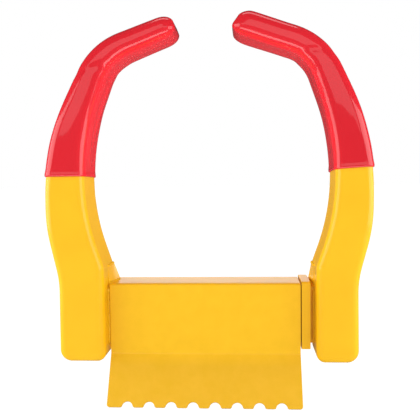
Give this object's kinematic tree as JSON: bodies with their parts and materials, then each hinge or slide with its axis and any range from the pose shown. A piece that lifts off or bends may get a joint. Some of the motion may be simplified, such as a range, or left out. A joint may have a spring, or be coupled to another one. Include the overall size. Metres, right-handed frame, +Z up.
{
  "type": "wheel clamp",
  "caption": "Claw-type wheel clamp: two curved arms with red vinyl tips on a telescoping crossbar, a notched chock plate and a push-in plunger lock.",
  "frame": {"origin": "on the top face of the sleeve tube, at the middle of its depth and midway between the closed arms", "axes": "+X from the fixed arm to the sliding arm, -Y the front with the chock plate, +Z up along the arms"},
  "size_m": [0.3269, 0.1175, 0.3912],
  "materials": {
    "yellow_powder_coat": "semi-gloss smooth yellow powder coat on steel",
    "red_vinyl": "glossy dipped red vinyl",
    "lock_chrome": "chromed lock parts",
    "bright_steel": "zinc-plated turned steel",
    "brass": "turned brass"
  },
  "bodies": {
    "fixed_arm": {"left_arm_channel": "yellow_powder_coat", "left_arm_tip_cap": "yellow_powder_coat", "left_arm_foot_cap": "yellow_powder_coat", "left_arm_outer_strip": "yellow_powder_coat", "left_arm_vinyl_sleeve": "red_vinyl", "left_arm_gusset": "yellow_powder_coat", "sleeve_tube": "yellow_powder_coat", "sleeve_end_plate": "yellow_powder_coat", "travel_stop_pin": "bright_steel", "chock_plate": "yellow_powder_coat", "lock_housing": "yellow_powder_coat", "retaining_screw": "bright_steel", "lock_spring": "bright_steel"},
    "slide_arm": {"right_arm_channel": "yellow_powder_coat", "right_arm_tip_cap": "yellow_powder_coat", "right_arm_foot_cap": "yellow_powder_coat", "right_arm_outer_strip": "yellow_powder_coat", "right_arm_vinyl_sleeve": "red_vinyl", "right_arm_gusset": "yellow_powder_coat", "slide_bar": "yellow_powder_coat", "bar_end_cap": "yellow_powder_coat", "bar_end_plate": "yellow_powder_coat", "stop_collar": "yellow_powder_coat"},
    "lock_plunger": {"lock_barrel": "lock_chrome", "driver_pins": "brass", "lock_bolt": "bright_steel", "bolt_cross_pin": "bright_steel", "cover_rivet": "bright_steel"},
    "keyed_plug": {"key_plug": "brass", "key_pins": "brass", "plug_cam": "brass"},
    "cover": {"keyhole_cover": "lock_chrome"}
  },
  "joints": [
    {"name": "arm_slide", "type": "slide", "parent": "fixed_arm", "child": "slide_arm", "axis": [1, 0, 0], "range_m": [0, 0.09]},
    {"name": "lock_push", "type": "slide", "parent": "fixed_arm", "child": "lock_plunger", "axis": [0, -1, 0], "range_m": [0, 0.01], "stiffness_N_per_m": 300, "springref_m": -0.005, "deforming": ["lock_spring"]},
    {"name": "plug_turn", "type": "hinge", "parent": "lock_plunger", "child": "keyed_plug", "pos_m": [0.04, 0.064, -0.033], "axis": [0, 1, 0], "range_deg": [0, 90]},
    {"name": "cover_swing", "type": "hinge", "parent": "lock_plunger", "child": "cover", "pos_m": [0.04, 0.0659, -0.0238], "axis": [0, 1, 0], "range_deg": [-120, 120]}
  ]
}
